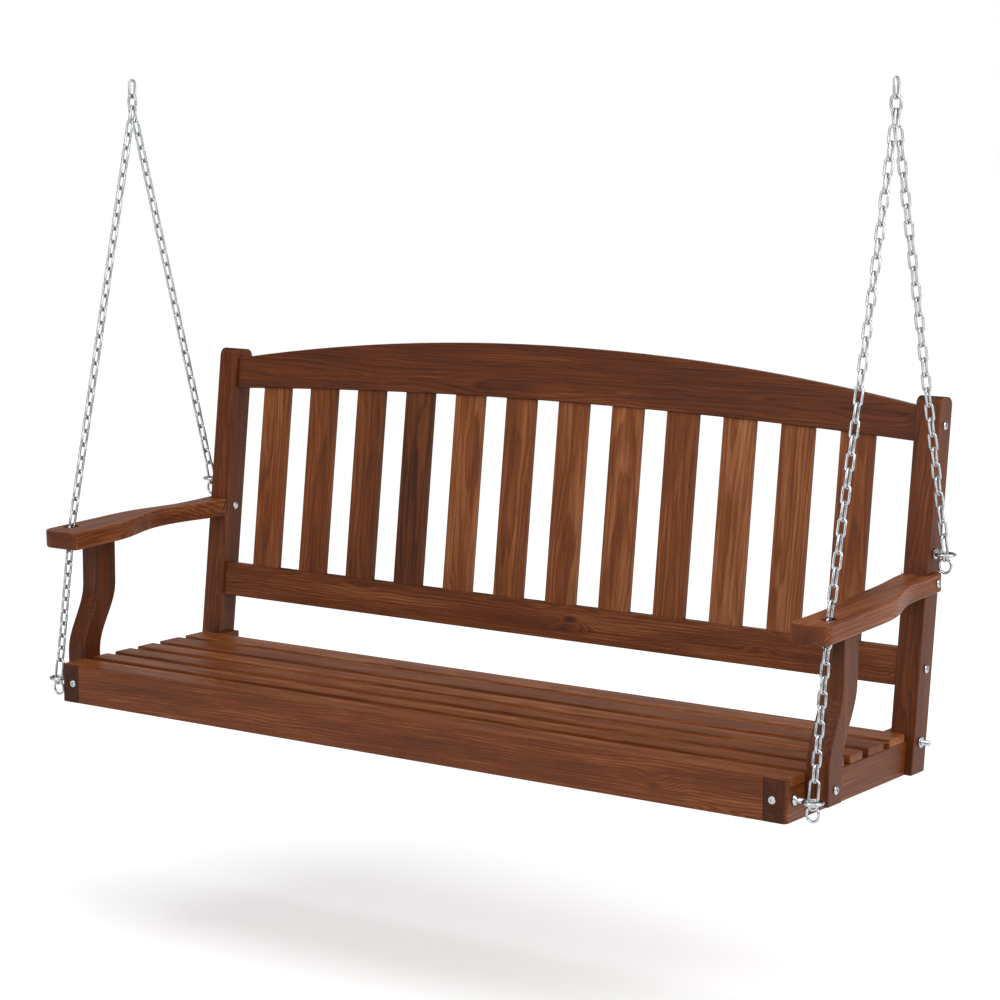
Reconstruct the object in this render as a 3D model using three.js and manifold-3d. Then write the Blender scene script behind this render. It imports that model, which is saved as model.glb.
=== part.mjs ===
// Porch swing: a slatted wooden bench hung by two chains at each end.
// Millimetres, +X to the right as seen from the front, +Y to the back, +Z up.
// The exported frame has its origin midway between the two hooks, where the hanger links bear.
// Everything is laid out from the seat's own corner: y = 0 is the front face of the front rail,
// z = 0 is the underside of the seat rails and x = 0 is the middle of the bench.

import * as THREE from 'three';
import { mergeVertices } from 'three/addons/utils/BufferGeometryUtils.js';
import Module from 'manifold-3d';

const wasm = await Module();
wasm.setup();

// ---------------------------------------------------------------- driving dimensions

const joint = 0.3; // gap left where two pieces touch
const toolOver = 1; // how far a cutting tool runs past the face it starts from

// Seat frame
const seatWidth = 1516; // over the side rails' outer faces
const railHeight = 70;
const sideRailWidth = 40;
const frontRailDepth = 38;
const frontLip = 10; // front edge that stands up in front of the first slat
const rearRailDepth = 38;
const rearRailInset = 2; // behind its face the last slat runs on
const bearerWidth = 38;
const cornerRadius = 8;

// Seat slats, front to back
const slatWidths = [50, 42, 42, 42, 53, 53];
const slatGap = 20;
const slatThickness = 14;
const slatToPost = 10;

// Back posts
const postWidth = 44;
const postDepth = 46;
const postLength = 623;
const postStandout = 13; // post's outer face beyond the side rail's
const postTopRadius = 14;
const recline = THREE.MathUtils.degToRad(6.65);
const cheekThickness = 12; // side rail's tail that laps the post's inner face
const cheekTopDrop = 2;

// Back rails, measured up the post
const backRailDepth = 32;
const backRailInset = 6;
const lowerRailFoot = 144.5;
const lowerRailHeight = 63;
const topRailDrop = 76; // foot of the rail's ends below the post's top
const topRailEndHeight = 58;
const topRailRise = 61;
const topRailUnderRise = 20;

// Back slats
const backSlatCount = 12;
const backSlatWidth = 63;
const backSlatEndGap = 70.5; // mean gap between a post and its nearest slat
const backSlatShift = -5; // the row stands a little to the left of the middle
const backSlatSetback = 3; // behind the rails' front faces
const backSlatThickness = 11;
const grooveDepth = 12;

// Armrests
const armTop = 311; // height of the top face above y = 0
const armSlope = Math.atan(0.04); // rises towards the back
const armThickness = 32;
const armFront = 9;
const armReach = 56; // outer edge beyond the side rail's outer face
const armTongue = 10; // part that passes outside the post
const armTailLength = 13; // tongue behind the bolt
const armInnerCorner = 12;
const armOuterCorner = 24;
const armNeckStart = 230; // outer edge starts to draw in, ahead of the post
const armNeckEnd = 40; // outer edge meets the tongue, ahead of the post
const armWaistAt = 155; // waist of the inner edge, ahead of the post
const armBladeEnd = 120; // straight part of the inner edge, back from the front
const armPullBack = 50; // how far each end of an inner curve runs straight before it turns
const armPullWaistBack = 70;
const armPullWaistFront = 60;
const armPullBlade = 60;
const armInset = { left: 29, right: 8 }; // inner edge at the front, inside the side rail's face
const armWaist = { left: -2, right: 20 }; // inner edge at the waist, inside the side rail's face

// Arm supports
const supportWidth = 40;
const supportDepth = 45;
const supportTopDepth = 48;
const supportFront = 59;
const supportFoot = 20;
const supportSweep = 41; // how far the top stands behind the foot
const supportBendFoot = 82;
const supportBendTop = 200;
const supportBoltDrop = 26; // below the side rail's top

// Suspension
const chainOffset = 32; // chain plane beyond the side rail's outer face
const apexY = 246;
const apexZ = 1078; // where the chains leave the top ring
const chainBarWidth = 14;
const chainBarWeb = 2.2;
const chainHole = 25;
const chainHoleY = 66;
const chainTopGap = 30;
const chainEndGap = 2;
const chainBendGap = 4; // upper run stops short of the bend in the armrest's hole

// Rings and links: wire, outer width and outer length
const topRing = { wire: 5, width: 22, length: 32 };
const hangerLink = { wire: 5, width: 20, length: 38 };
const endRing = { wire: 4.8, width: 26, length: 29 };
const linkPlay = 1;

// Eye bolts
const eye = { wire: 6, outer: 36, shank: 8, neck: 9, flange: 18, flangeThickness: 2.5 };
const frontEyeY = 25;
const frontEyeDrop = 35; // below the side rail's top
const rearEyeAboveArm = 48; // up the post from the armrest's bolt
const rearEyeDepth = 34; // shank in the post
const barrelNut = { diameter: 13, length: 44, inFromInnerFace: 14 };

// Bolts
const bolt = { shank: 8, head: 14, headHeight: 3 };
const boreClearance = 0.3; // all round a shank
const railBoltReach = 38; // into the rail's end
const supportBoltReach = 26;
const seatBolt = { shank: 9, washer: 18, washerThickness: 2.5, stub: 17 };
const seatBoltDrop = 15; // below the side rail's top

// Facets on round shapes
const curveSteps = 9;
const cornerSteps = 5;
const rodSides = 14;
const headSides = 16;
const neckSides = 12;
const boreSides = 20;
const archSteps = 24;
const loopSteps = { around: 20, wire: 6 };
const eyeSteps = { around: 18, wire: 8 };

// ---------------------------------------------------------------- worked-out places

const sideFace = seatWidth / 2;
const sideInner = sideFace - sideRailWidth;
const seatBearing = railHeight - slatThickness - joint;
const seatBack = frontLip + slatWidths.reduce((sum, width) => sum + width, 0)
  + slatGap * (slatWidths.length - 1);
const postFootY = seatBack + slatToPost - railHeight * Math.tan(recline);
const postOuter = sideFace + postStandout;
const postInner = postOuter - postWidth;
const armOuter = sideFace + armReach;
const armTongueOuter = postOuter + armTongue;
const chainX = sideFace + chainOffset;
const rearRailBack = seatBack - rearRailInset;
const rearRailFront = rearRailBack - rearRailDepth;
const backSlatFront = backRailInset + backSlatSetback;
const topRailHalf = postInner - joint;
const topRailFoot = postLength - topRailDrop;
const backSlatPitch = (2 * (topRailHalf - backSlatEndGap) - backSlatWidth) / (backSlatCount - 1);

const ringHingeZ = apexZ - topRing.wire + topRing.length - topRing.wire / 2;
const hangerFoot = ringHingeZ - topRing.wire / 2 - linkPlay - hangerLink.wire;
const hangZ = hangerFoot + hangerLink.length - hangerLink.wire;

const backFrame = new THREE.Matrix4().makeRotationX(-recline).setPosition(0, postFootY, 0);
const armFrame = new THREE.Matrix4().makeRotationX(armSlope).setPosition(0, 0, armTop);

// Diameter of the hole bored for a shank
const bore = (shank) => shank + 2 * boreClearance;

// Distance back (y) of the post's front face at height z
const postFrontAt = (z) => postFootY + z * Math.tan(recline);

// A point (0, y, z) of the reclined back, given as depth into the post and length up it
const onPost = (depth, length) => new THREE.Vector3(0, depth, length).applyMatrix4(backFrame);

// Length up the post's middle line at which the armrest's half-thickness plane crosses it
function armLengthOnPost() {
  const depth = postDepth / 2;
  const slope = Math.tan(armSlope);
  const middle = armTop - armThickness / 2 / Math.cos(armSlope);
  const rise = middle + slope * (postFootY + depth * Math.cos(recline)) + depth * Math.sin(recline);
  return rise / (Math.cos(recline) - slope * Math.sin(recline));
}

const armBoltLength = armLengthOnPost();
const armBoltPlace = onPost(postDepth / 2, armBoltLength);
const rearEyeHeight = armBoltLength + rearEyeAboveArm;
const rearEyePlace = onPost(postDepth / 2, rearEyeHeight);
const seatBoltHeight = railHeight - seatBoltDrop;
const seatBoltPlace = onPost(postDepth / 2, seatBoltHeight);
const frontEyeZ = railHeight - frontEyeDrop;
const frontEyePlace = new THREE.Vector3(0, frontEyeY, frontEyeZ);
const chainBendPlace = new THREE.Vector3(0, chainHoleY, armTop + chainHoleY * Math.tan(armSlope));
// Where the lower run of chain crosses half the armrest's thickness
const chainMiddleY = chainHoleY - (armThickness / 2)
  * (chainHoleY - frontEyeY) / (armTop - frontEyeZ);
const apexPlace = new THREE.Vector3(0, apexY, apexZ);

// ---------------------------------------------------------------- materials

function material(name, color, roughness, metalness) {
  const result = new THREE.MeshStandardMaterial({ color, roughness, metalness });
  result.name = name;
  return result;
}

const stainedPine = material('stained_pine', '#6b3f28', 0.5, 0);
const slatPine = material('slat_pine', '#7a4a33', 0.5, 0);
const zinc = material('zinc_plated_steel', '#c9cbcc', 0.3, 1);

// ---------------------------------------------------------------- geometry helpers

function extrude(shape, depth, curveSegments) {
  return new THREE.ExtrudeGeometry(shape, { depth, bevelEnabled: false, curveSegments });
}

// Shape in (y, z), extruded along X from x0 to x1
function extrudeAlongX(shape, x0, x1, curveSegments = curveSteps) {
  const geometry = extrude(shape, x1 - x0, curveSegments);
  geometry.applyMatrix4(new THREE.Matrix4().set(0, 0, 1, x0, 1, 0, 0, 0, 0, 1, 0, 0, 0, 0, 0, 1));
  return geometry;
}

// Shape in (x, z), extruded along Y from y0 to y1
function extrudeAlongY(shape, y0, y1) {
  return extrude(shape, y1 - y0, curveSteps).rotateX(Math.PI / 2).translate(0, y1, 0);
}

// Shape in (x, y), extruded along Z from z0 to z1
function extrudeAlongZ(shape, z0, z1, curveSegments = curveSteps) {
  return extrude(shape, z1 - z0, curveSegments).translate(0, 0, z0);
}

function box(x0, x1, y0, y1, z0, z1) {
  const geometry = new THREE.BoxGeometry(x1 - x0, y1 - y0, z1 - z0);
  return geometry.translate((x0 + x1) / 2, (y0 + y1) / 2, (z0 + z1) / 2);
}

function polygon(points) {
  return new THREE.Shape(points.map(([a, b]) => new THREE.Vector2(a, b)));
}

// Cylinder along X between x0 and x1, through the given (y, z) place
function rodX(diameter, x0, x1, spot, segments = rodSides) {
  const geometry = new THREE.CylinderGeometry(diameter / 2, diameter / 2, x1 - x0, segments);
  return geometry.rotateZ(Math.PI / 2).translate((x0 + x1) / 2, spot.y, spot.z);
}

// Cylinder along Y between y0 and y1, through the given (x, z)
function rodY(diameter, y0, y1, x, z, segments = rodSides) {
  const geometry = new THREE.CylinderGeometry(diameter / 2, diameter / 2, y1 - y0, segments);
  return geometry.translate(x, (y0 + y1) / 2, z);
}

// The same geometry on the other side of x = 0
function mirrored(geometry) {
  const result = geometry.index ? geometry.toNonIndexed() : geometry.clone();
  const position = result.attributes.position;
  for (let i = 0; i < position.count; i += 3) {
    const corners = [0, 2, 1].map((k) => new THREE.Vector3().fromBufferAttribute(position, i + k));
    corners.forEach((corner, k) => position.setXYZ(i + k, -corner.x, corner.y, corner.z));
  }
  return result;
}

// ---------------------------------------------------------------- solids, joined and cut

function toSolid(geometry) {
  const bare = geometry.clone();
  bare.deleteAttribute('normal');
  bare.deleteAttribute('uv');
  const merged = mergeVertices(bare, 1e-4);
  const vertProperties = Float32Array.from(merged.attributes.position.array);
  const triVerts = Uint32Array.from(merged.index.array);
  return new wasm.Manifold(new wasm.Mesh({ numProp: 3, vertProperties, triVerts }));
}

function fromSolid(solid) {
  const { vertProperties, triVerts } = solid.getMesh();
  const geometry = new THREE.BufferGeometry();
  const corners = Float32Array.from(vertProperties);
  geometry.setAttribute('position', new THREE.BufferAttribute(corners, 3));
  geometry.setIndex(new THREE.BufferAttribute(Uint32Array.from(triVerts), 1));
  const faceted = geometry.toNonIndexed();
  faceted.computeVertexNormals();
  return faceted;
}

function join(geometries) {
  return fromSolid(geometries.map(toSolid).reduce((whole, piece) => whole.add(piece)));
}

function cut(geometry, tools) {
  const blank = toSolid(geometry);
  return fromSolid(tools.map(toSolid).reduce((left, tool) => left.subtract(tool), blank));
}

// ---------------------------------------------------------------- assembly groups

const swing = new THREE.Group();
swing.name = 'porch_swing';
swing.position.set(0, -apexY, -hangZ);

const seatGroup = new THREE.Group();
const backGroup = new THREE.Group();
backGroup.applyMatrix4(backFrame);
const armGroup = new THREE.Group();
armGroup.applyMatrix4(armFrame);
swing.add(seatGroup, backGroup, armGroup);

function place(group, name, geometry, finish) {
  const mesh = new THREE.Mesh(geometry, finish.clone());
  mesh.name = name;
  group.add(mesh);
}

// Puts a piece that is drawn on the right on both sides
function placePair(group, name, geometry, finish) {
  place(group, `${name}_right`, geometry, finish);
  place(group, `${name}_left`, mirrored(geometry), finish);
}

// ---------------------------------------------------------------- seat frame

function frontRail() {
  const section = polygon([
    [0, 0], [frontRailDepth, 0], [frontRailDepth, seatBearing],
    [frontLip - joint, seatBearing], [frontLip - joint, railHeight], [0, railHeight],
  ]);
  const half = sideInner - joint;
  place(seatGroup, 'front_rail', extrudeAlongX(section, -half, half), stainedPine);
}

function rearRail() {
  const half = sideInner - joint;
  const rail = box(-half, half, rearRailFront, rearRailBack, 0, seatBearing);
  place(seatGroup, 'rear_seat_rail', rail, stainedPine);
}

function centreBearer() {
  const start = frontRailDepth + joint;
  const half = bearerWidth / 2;
  const bearer = box(-half, half, start, rearRailFront - joint, 0, seatBearing);
  place(seatGroup, 'centre_bearer', bearer, stainedPine);
}

// Side rail: its end grain shows at the front, and at the back it butts the post and laps it
function sideRails() {
  const endAt = (z) => postFrontAt(z) - joint;
  const outline = polygon([
    [0, 0], [endAt(0), 0], [endAt(seatBearing), seatBearing],
    [frontLip - joint, seatBearing], [frontLip - joint, railHeight], [0, railHeight],
  ]);
  const body = extrudeAlongX(outline, sideInner, sideFace);

  const cheekEnd = postDepth / Math.cos(recline);
  const cheekTop = railHeight - cheekTopDrop;
  const cheekOutline = polygon([
    [rearRailBack + joint, 0], [postFrontAt(0) + cheekEnd, 0],
    [postFrontAt(cheekTop) + cheekEnd, cheekTop],
    [seatBack + joint, cheekTop],
    [seatBack + joint, seatBearing],
    [rearRailBack + joint, seatBearing],
  ]);
  const cheekOuter = postInner - joint;
  const cheekInner = cheekOuter - cheekThickness;
  const cheek = extrudeAlongX(cheekOutline, cheekInner, cheekOuter);
  const cheekRoot = box(
    cheekInner, sideInner + cheekThickness, rearRailBack + joint, endAt(0), 0, seatBearing);

  const corner = new THREE.Shape();
  corner.moveTo(sideFace + toolOver, -toolOver);
  corner.lineTo(sideFace + toolOver, cornerRadius);
  corner.lineTo(sideFace, cornerRadius);
  corner.absarc(sideFace - cornerRadius, cornerRadius, cornerRadius, 0, -Math.PI / 2, true);
  corner.lineTo(sideFace - cornerRadius, -toolOver);
  corner.closePath();

  const nutX = sideInner + barrelNut.inFromInnerFace;
  const nutBore = bore(barrelNut.diameter);
  const eyeBore = bore(eye.shank);
  const supportBoltEnd = sideFace - supportBoltReach - toolOver;
  const cuts = [
    extrudeAlongZ(corner, -toolOver, railHeight + toolOver, cornerSteps),
    rodY(nutBore, -toolOver, barrelNut.length + toolOver, nutX, frontEyeZ),
    rodX(eyeBore, nutX - toolOver, sideFace + toolOver, frontEyePlace),
    rodX(bore(bolt.shank), supportBoltEnd, sideFace + toolOver, supportBoltPlace),
    rodX(bore(seatBolt.shank), cheekInner - toolOver, cheekOuter + toolOver, seatBoltPlace),
  ];
  placePair(seatGroup, 'side_rail', cut(join([body, cheek, cheekRoot]), cuts), stainedPine);
}

function seatSlats() {
  let front = frontLip;
  slatWidths.forEach((width, i) => {
    const slat = box(-sideFace, sideFace, front, front + width, seatBearing + joint, railHeight);
    place(seatGroup, `seat_slat_${i + 1}`, slat, slatPine);
    front += width + slatGap;
  });
}

// ---------------------------------------------------------------- back

const lowerRailBolt = new THREE.Vector3(0, postDepth / 2, lowerRailFoot + lowerRailHeight / 2);
const topRailBolt = new THREE.Vector3(0, postDepth / 2, topRailFoot + topRailEndHeight / 2);

function backPosts() {
  const r = postTopRadius;
  const outline = new THREE.Shape();
  outline.moveTo(0, 0);
  outline.lineTo(postDepth, postDepth * Math.tan(recline));
  outline.lineTo(postDepth, postLength - r);
  outline.absarc(postDepth - r, postLength - r, r, 0, Math.PI / 2, false);
  outline.lineTo(r, postLength);
  outline.absarc(r, postLength - r, r, Math.PI / 2, Math.PI, false);
  outline.closePath();

  const middle = postDepth / 2;
  const hole = (shank, start, height) => rodX(
    bore(shank), start - toolOver, postOuter + toolOver, new THREE.Vector3(0, middle, height));
  const post = cut(extrudeAlongX(outline, postInner, postOuter, cornerSteps), [
    hole(bolt.shank, postInner, lowerRailBolt.z),
    hole(bolt.shank, postInner, topRailBolt.z),
    hole(bolt.shank, postInner, armBoltLength),
    hole(seatBolt.shank, postInner, seatBoltHeight),
    hole(eye.shank, postOuter - rearEyeDepth, rearEyeHeight),
  ]);
  placePair(backGroup, 'back_post', post, stainedPine);
}

// Height of a shallow arch over its springing, across the rail's half length
const arch = (rise, x) => rise * (1 - (x / topRailHalf) ** 2);

const slatCentre = (i) => (i - (backSlatCount - 1) / 2) * backSlatPitch + backSlatShift;
const topSlatEnd = (x) => topRailFoot
  + arch(topRailUnderRise, Math.abs(x) + backSlatWidth / 2) + grooveDepth;

function slatMortises(bottom, top) {
  const half = backSlatWidth / 2 + joint;
  const front = backSlatFront - joint;
  const back = backSlatFront + backSlatThickness + joint;
  return Array.from({ length: backSlatCount }, (_, i) => {
    const x = slatCentre(i);
    return box(x - half, x + half, front, back, bottom(x), top(x));
  });
}

function railEndBores(spot) {
  const end = topRailHalf + toolOver;
  const start = postInner - railBoltReach - toolOver;
  const across = bore(bolt.shank);
  return [rodX(across, start, end, spot), rodX(across, -end, -start, spot)];
}

function lowerBackRail() {
  const top = lowerRailFoot + lowerRailHeight;
  const back = backRailInset + backRailDepth;
  const rail = box(-topRailHalf, topRailHalf, backRailInset, back, lowerRailFoot, top);
  const mortises = slatMortises(() => top - grooveDepth - joint, () => top + toolOver);
  const finished = cut(rail, [...mortises, ...railEndBores(lowerRailBolt)]);
  place(backGroup, 'lower_back_rail', finished, stainedPine);
}

function topRail() {
  const across = (k) => -topRailHalf + (2 * topRailHalf * k) / archSteps;
  const under = [];
  const over = [];
  for (let k = 0; k <= archSteps; k += 1) {
    const x = across(k);
    under.push([x, topRailFoot + arch(topRailUnderRise, x)]);
    over.unshift([x, topRailFoot + topRailEndHeight + arch(topRailRise, x)]);
  }
  const back = backRailInset + backRailDepth;
  const rail = extrudeAlongY(polygon([...under, ...over]), backRailInset, back);
  const mortises = slatMortises(() => topRailFoot - toolOver, (x) => topSlatEnd(x) + joint);
  const finished = cut(rail, [...mortises, ...railEndBores(topRailBolt)]);
  place(backGroup, 'top_rail', finished, stainedPine);
}

function backSlats() {
  const foot = lowerRailFoot + lowerRailHeight - grooveDepth;
  const half = backSlatWidth / 2;
  const back = backSlatFront + backSlatThickness;
  for (let i = 0; i < backSlatCount; i += 1) {
    const x = slatCentre(i);
    const slat = box(x - half, x + half, backSlatFront, back, foot, topSlatEnd(x));
    place(backGroup, `back_slat_${i + 1}`, slat, slatPine);
  }
}

// ---------------------------------------------------------------- arms

// Plan of one armrest in its own plane: u out from the middle of the bench, v back from the front
function armPlan(side) {
  const inner = sideFace - armInset[side];
  const waist = sideFace - armWaist[side];
  const back = postFrontAt(armTop);
  const tail = armBoltPlace.y + armTailLength;
  const innerTurn = armFront + armInnerCorner;
  const outerTurn = armFront + armOuterCorner;
  const plan = new THREE.Shape();
  plan.moveTo(inner, innerTurn);
  plan.absarc(inner + armInnerCorner, innerTurn, armInnerCorner, Math.PI, 1.5 * Math.PI, false);
  plan.lineTo(armOuter - armOuterCorner, armFront);
  plan.absarc(armOuter - armOuterCorner, outerTurn, armOuterCorner, -Math.PI / 2, 0, false);
  const neckStart = back - armNeckStart;
  const neckEnd = back - armNeckEnd;
  const neckMiddle = (neckStart + neckEnd) / 2;
  plan.lineTo(armOuter, neckStart);
  plan.bezierCurveTo(
    armOuter, neckMiddle, armTongueOuter, neckMiddle, armTongueOuter, neckEnd);
  plan.lineTo(armTongueOuter, tail);
  plan.lineTo(postInner, tail);
  plan.lineTo(postInner, back);
  const waistAt = back - armWaistAt;
  plan.bezierCurveTo(
    postInner, back - armPullBack, waist, waistAt + armPullWaistBack, waist, waistAt);
  plan.bezierCurveTo(
    waist, waistAt - armPullWaistFront, inner, armBladeEnd + armPullBlade, inner, armBladeEnd);
  plan.closePath();
  return plan;
}

function armrest(side) {
  const blank = extrudeAlongZ(armPlan(side), -armThickness, 0);
  const toArm = armFrame.clone().invert();
  const postClear = box(
    0, postOuter + joint, -joint, 3 * postDepth,
    armTop - 3 * armThickness, armTop + 3 * armThickness);
  postClear.applyMatrix4(backFrame).applyMatrix4(toArm);
  const chainBore = new THREE.CylinderGeometry(
    chainHole / 2, chainHole / 2, 4 * armThickness, boreSides);
  chainBore.rotateX(Math.PI / 2).translate(chainX, chainMiddleY, armTop);
  chainBore.applyMatrix4(toArm);
  const boltBore = rodX(bore(bolt.shank), postInner, armTongueOuter + toolOver, armBoltPlace);
  boltBore.applyMatrix4(toArm);
  return cut(blank, [postClear, chainBore, boltBore]);
}

function armrests() {
  place(armGroup, 'armrest_right', armrest('right'), stainedPine);
  place(armGroup, 'armrest_left', mirrored(armrest('left')), stainedPine);
}

const supportBoltPlace = new THREE.Vector3(
  0, supportFront + supportDepth / 2, railHeight - supportBoltDrop);

// S-curved support bolted to the side rail's outer face, with its head under the armrest
function armSupports() {
  const drop = (armThickness + joint) / Math.cos(armSlope);
  const underArm = (y) => armTop - drop + y * Math.tan(armSlope);
  const front = supportFront;
  const back = supportFront + supportDepth;
  const topFront = supportFront + supportSweep;
  const topBack = topFront + supportTopDepth;
  const pull = (supportBendTop - supportBendFoot) / 3;
  const outline = new THREE.Shape();
  outline.moveTo(front, supportFoot);
  outline.lineTo(back, supportFoot);
  outline.lineTo(back, supportBendFoot);
  outline.bezierCurveTo(
    back, supportBendFoot + pull, topBack, supportBendTop - pull, topBack, supportBendTop);
  outline.lineTo(topBack, underArm(topBack));
  outline.lineTo(topFront, underArm(topFront));
  outline.lineTo(topFront, supportBendTop);
  outline.bezierCurveTo(
    topFront, supportBendTop - pull, front, supportBendFoot + pull, front, supportBendFoot);
  outline.closePath();
  const inside = sideFace + joint;
  const outside = inside + supportWidth;
  const blank = extrudeAlongX(outline, inside, outside);
  const hole = rodX(bore(bolt.shank), inside - toolOver, outside + toolOver, supportBoltPlace);
  placePair(seatGroup, 'arm_support', cut(blank, [hole]), stainedPine);
}

// ---------------------------------------------------------------- bolts

// Round-headed bolt along X with its head on the face at x = face
function headedBolt(face, reach, spot) {
  return join([
    rodX(bolt.shank, face - reach, face + joint + toolOver, spot),
    rodX(bolt.head, face + joint, face + joint + bolt.headHeight, spot, headSides),
  ]);
}

function railBolts() {
  const reach = postWidth + railBoltReach;
  placePair(backGroup, 'lower_rail_bolt', headedBolt(postOuter, reach, lowerRailBolt), zinc);
  placePair(backGroup, 'top_rail_bolt', headedBolt(postOuter, reach, topRailBolt), zinc);
}

function supportBolts() {
  const face = sideFace + joint + supportWidth;
  const reach = supportWidth + joint + supportBoltReach;
  placePair(seatGroup, 'arm_support_bolt', headedBolt(face, reach, supportBoltPlace), zinc);
}

// Through bolt with a head outside the armrest's tongue and a cap nut inside the post
function armrestBolts() {
  const inside = postInner - joint;
  const whole = join([
    headedBolt(armTongueOuter, armTongueOuter - inside, armBoltPlace),
    rodX(bolt.head, inside - bolt.headHeight, inside, armBoltPlace, headSides),
  ]);
  placePair(seatGroup, 'armrest_bolt', whole, zinc);
}

// Threaded rod through the post's foot and the side rail's cheek, with a washer at each side
function rearSeatBolts() {
  const outside = postOuter + joint;
  const inside = postInner - 2 * joint - cheekThickness;
  const thickness = seatBolt.washerThickness;
  const whole = join([
    rodX(seatBolt.shank, inside - thickness, outside + seatBolt.stub, seatBoltPlace),
    rodX(seatBolt.washer, outside, outside + thickness, seatBoltPlace, headSides),
    rodX(seatBolt.washer, inside - thickness, inside, seatBoltPlace, headSides),
  ]);
  placePair(seatGroup, 'rear_seat_bolt', whole, zinc);
}

// ---------------------------------------------------------------- suspension

// Eye bolt along X, with its ring in the XY plane and its flange on the wood's face
function eyeBolt(face, shankEnd, spot) {
  const middle = (eye.outer - eye.wire) / 2;
  const loop = new THREE.TorusGeometry(middle, eye.wire / 2, eyeSteps.wire, eyeSteps.around);
  loop.translate(chainX, spot.y, spot.z);
  return [
    loop,
    rodX(eye.neck, face + joint, chainX - middle, spot, neckSides),
    rodX(eye.flange, face + joint, face + joint + eye.flangeThickness, spot, headSides),
    rodX(eye.shank, shankEnd, face + joint + toolOver, spot, neckSides),
  ];
}

function eyeBolts() {
  const nutX = sideInner + barrelNut.inFromInnerFace;
  const front = eyeBolt(sideFace, nutX, frontEyePlace);
  front.push(rodY(barrelNut.diameter, 0, barrelNut.length, nutX, frontEyeZ, headSides));
  placePair(seatGroup, 'eye_bolt_front', join(front), zinc);
  const rear = eyeBolt(postOuter, postOuter - rearEyeDepth, rearEyePlace);
  placePair(seatGroup, 'eye_bolt_rear', join(rear), zinc);
}

// Middle line of a long-sided link: its length along Z, its width along X or Y
class LinkCurve extends THREE.Curve {
  constructor(link, along) {
    super();
    this.radius = (link.width - link.wire) / 2;
    this.straight = link.length - link.width;
    this.along = along;
  }

  getPoint(t) {
    const around = 2 * Math.PI * t;
    const side = this.radius * Math.cos(around);
    const half = Math.sin(around) >= 0 ? this.straight / 2 : -this.straight / 2;
    const up = this.radius * Math.sin(around) + half;
    return this.along === 'x' ? new THREE.Vector3(side, 0, up) : new THREE.Vector3(0, side, up);
  }
}

// Link standing upright, the middle of the wire in its top bend at the given place
function linkLoop(link, along, top) {
  const curve = new LinkCurve(link, along);
  const loop = new THREE.TubeGeometry(
    curve, loopSteps.around, link.wire / 2, loopSteps.wire, true);
  return loop.translate(top.x, top.y, top.z - (link.length - link.wire) / 2);
}

function ringsAndLinks() {
  const ringTop = new THREE.Vector3(chainX, apexY, ringHingeZ);
  placePair(seatGroup, 'top_ring', linkLoop(topRing, 'x', ringTop), zinc);
  const hangerTop = new THREE.Vector3(chainX, apexY, hangZ + hangerLink.wire / 2);
  placePair(seatGroup, 'hanger_link', linkLoop(hangerLink, 'y', hangerTop), zinc);
  const drop = (eye.wire + endRing.wire) / 2 + linkPlay;
  [['front', frontEyePlace], ['rear', rearEyePlace]].forEach(([name, spot]) => {
    const top = new THREE.Vector3(chainX, spot.y, spot.z - drop);
    placePair(seatGroup, `end_ring_${name}`, linkLoop(endRing, 'x', top), zinc);
  });
}

// Straight run of chain, drawn as a bar with a cross-shaped section, between two end gaps
function chainRun(start, end, startGap, endGap) {
  const line = end.clone().sub(start);
  const length = line.length() - startGap - endGap;
  const half = chainBarWidth / 2;
  const web = chainBarWeb / 2;
  const section = polygon([
    [half, -web], [half, web], [web, web], [web, half], [-web, half], [-web, web],
    [-half, web], [-half, -web], [-web, -web], [-web, -half], [web, -half], [web, -web],
  ]);
  const bar = extrudeAlongZ(section, startGap, startGap + length);
  bar.rotateX(Math.atan2(-line.y, line.z));
  return bar.translate(chainX, start.y, start.z);
}

function chains() {
  const overEye = eye.wire / 2 + chainEndGap;
  placePair(seatGroup, 'front_chain_upper',
    chainRun(apexPlace, chainBendPlace, chainTopGap, chainBendGap), zinc);
  placePair(seatGroup, 'front_chain_lower',
    chainRun(chainBendPlace, frontEyePlace, chainEndGap, overEye), zinc);
  placePair(seatGroup, 'rear_chain',
    chainRun(apexPlace, rearEyePlace, chainTopGap, overEye), zinc);
}

frontRail();
rearRail();
centreBearer();
sideRails();
seatSlats();
backPosts();
lowerBackRail();
topRail();
backSlats();
armrests();
armSupports();
railBolts();
supportBolts();
armrestBolts();
rearSeatBolts();
eyeBolts();
ringsAndLinks();
chains();

swing.updateMatrixWorld(true);

export default swing;
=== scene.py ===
# %% [markdown]
# # A porch swing
# A slatted pine bench hangs on two chains at each end. The frame below is the finished joinery:
# every board, bolt and bar is already in place, in metres, with the hang line at the origin.
# What is left is what the eye looks for: eased edges, grain that follows each board, real links
# in place of the chain bars, and bolt heads with sockets. We work from the camera inwards.

# %% Load the frame
import math
import random

import bpy
import numpy as np
from mathutils import Matrix, Vector


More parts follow.
